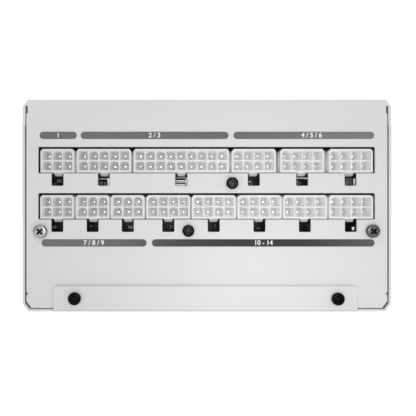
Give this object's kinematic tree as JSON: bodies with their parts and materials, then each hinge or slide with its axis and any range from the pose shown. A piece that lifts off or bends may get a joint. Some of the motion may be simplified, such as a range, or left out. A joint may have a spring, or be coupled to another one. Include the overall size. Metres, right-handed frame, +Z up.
{
  "type": "power supply unit",
  "caption": "Fully modular ATX computer power supply: white steel casing, socket panel, downward fan, mains inlet and rocker switch on a vented rear.",
  "frame": {"origin": "centre of the bounding box's underside, on the fan plate", "axes": "+X right when the socket panel is faced, +Y from the socket panel to the rear panel, +Z up, away from the fan plate"},
  "size_m": [0.15, 0.1568, 0.086],
  "materials": {
    "casing_paint": "fine-textured white powder coat",
    "nylon": "natural white nylon, semi-matt",
    "pin_tin": "bright tin plate",
    "black_screw": "black zinc, semi-matt",
    "bright_screw": "bright zinc",
    "grille_wire": "white powder-coated wire",
    "fan_plastic": "moulded black PBT",
    "shaft_steel": "ground",
    "bronze": "sintered",
    "copper": "enamelled",
    "baffle_film": "clear film",
    "board_black": "black solder mask",
    "brass_plated": "nickel-washed brass",
    "inlet_plastic": "black thermoplastic",
    "rocker_plastic": "glossy black",
    "wire_sleeve": "PVC",
    "film": "black polypropylene film",
    "film_box": "yellow box",
    "ferrite": "sintered ferrite",
    "rectifier_epoxy": "epoxy",
    "can_sleeve": "shrink sleeve",
    "aluminium": "extruded",
    "coil_tape": "polyester tape",
    "can_bare": "drawn"
  },
  "bodies": {
    "chassis": {"base_shell": "casing_paint", "fan_cover": "casing_paint", "flap_screws": "black_screw", "panel_screws_black": "black_screw", "panel_screws_silver": "bright_screw", "side_screws": "black_screw", "fan_grille": "grille_wire", "fan_screws": "black_screw", "fan_frame": "fan_plastic", "fan_bearing": "bronze", "fan_stator": "copper", "air_baffle": "baffle_film", "socket_pins": "pin_tin", "modular_board": "board_black", "modular_spacers": "brass_plated", "bus_bars": "copper", "inlet_housing": "inlet_plastic", "inlet_pins": "brass_plated", "switch_housing": "inlet_plastic", "mains_wires": "wire_sleeve", "main_board": "board_black", "board_standoffs": "bright_screw", "board_screws": "bright_screw", "insulation_sheet": "film", "emi_board": "board_black", "x_capacitor": "film_box", "line_chokes": "copper", "bridge_rectifier": "rectifier_epoxy", "pfc_choke_core": "ferrite", "pfc_choke_winding": "copper", "bulk_capacitor_1": "can_sleeve", "bulk_capacitor_2": "can_sleeve", "primary_heatsink": "aluminium", "primary_transistors": "rectifier_epoxy", "transformer_core": "ferrite", "transformer_winding": "coil_tape", "transformer_feet": "inlet_plastic", "standby_transformer": "coil_tape", "secondary_heatsink": "aluminium", "output_capacitors": "can_bare", "output_chokes": "copper", "converter_board": "board_black", "control_board": "board_black", "socket_upper_1": "nylon", "socket_upper_2": "nylon", "socket_upper_3": "nylon", "socket_upper_4": "nylon", "socket_upper_5": "nylon", "socket_upper_6": "nylon", "socket_lower_1": "nylon", "socket_lower_2": "nylon", "socket_lower_3": "nylon", "socket_lower_4": "nylon", "socket_lower_5": "nylon", "socket_lower_6": "nylon", "socket_lower_7": "nylon", "socket_lower_8": "nylon"},
    "fan_wheel": {"fan_rotor": "fan_plastic", "fan_shaft": "shaft_steel"},
    "rocker": {"switch_rocker": "rocker_plastic"}
  },
  "joints": [
    {"name": "fan_spin", "type": "hinge", "parent": "chassis", "child": "fan_wheel", "pos_m": [0, -0.00119, 0.015], "axis": [0, 0, 1], "continuous": true},
    {"name": "rocker_tip", "type": "hinge", "parent": "chassis", "child": "rocker", "pos_m": [-0.022, 0.07246, 0.048], "axis": [1, 0, 0], "range_deg": [-20, 0]}
  ]
}
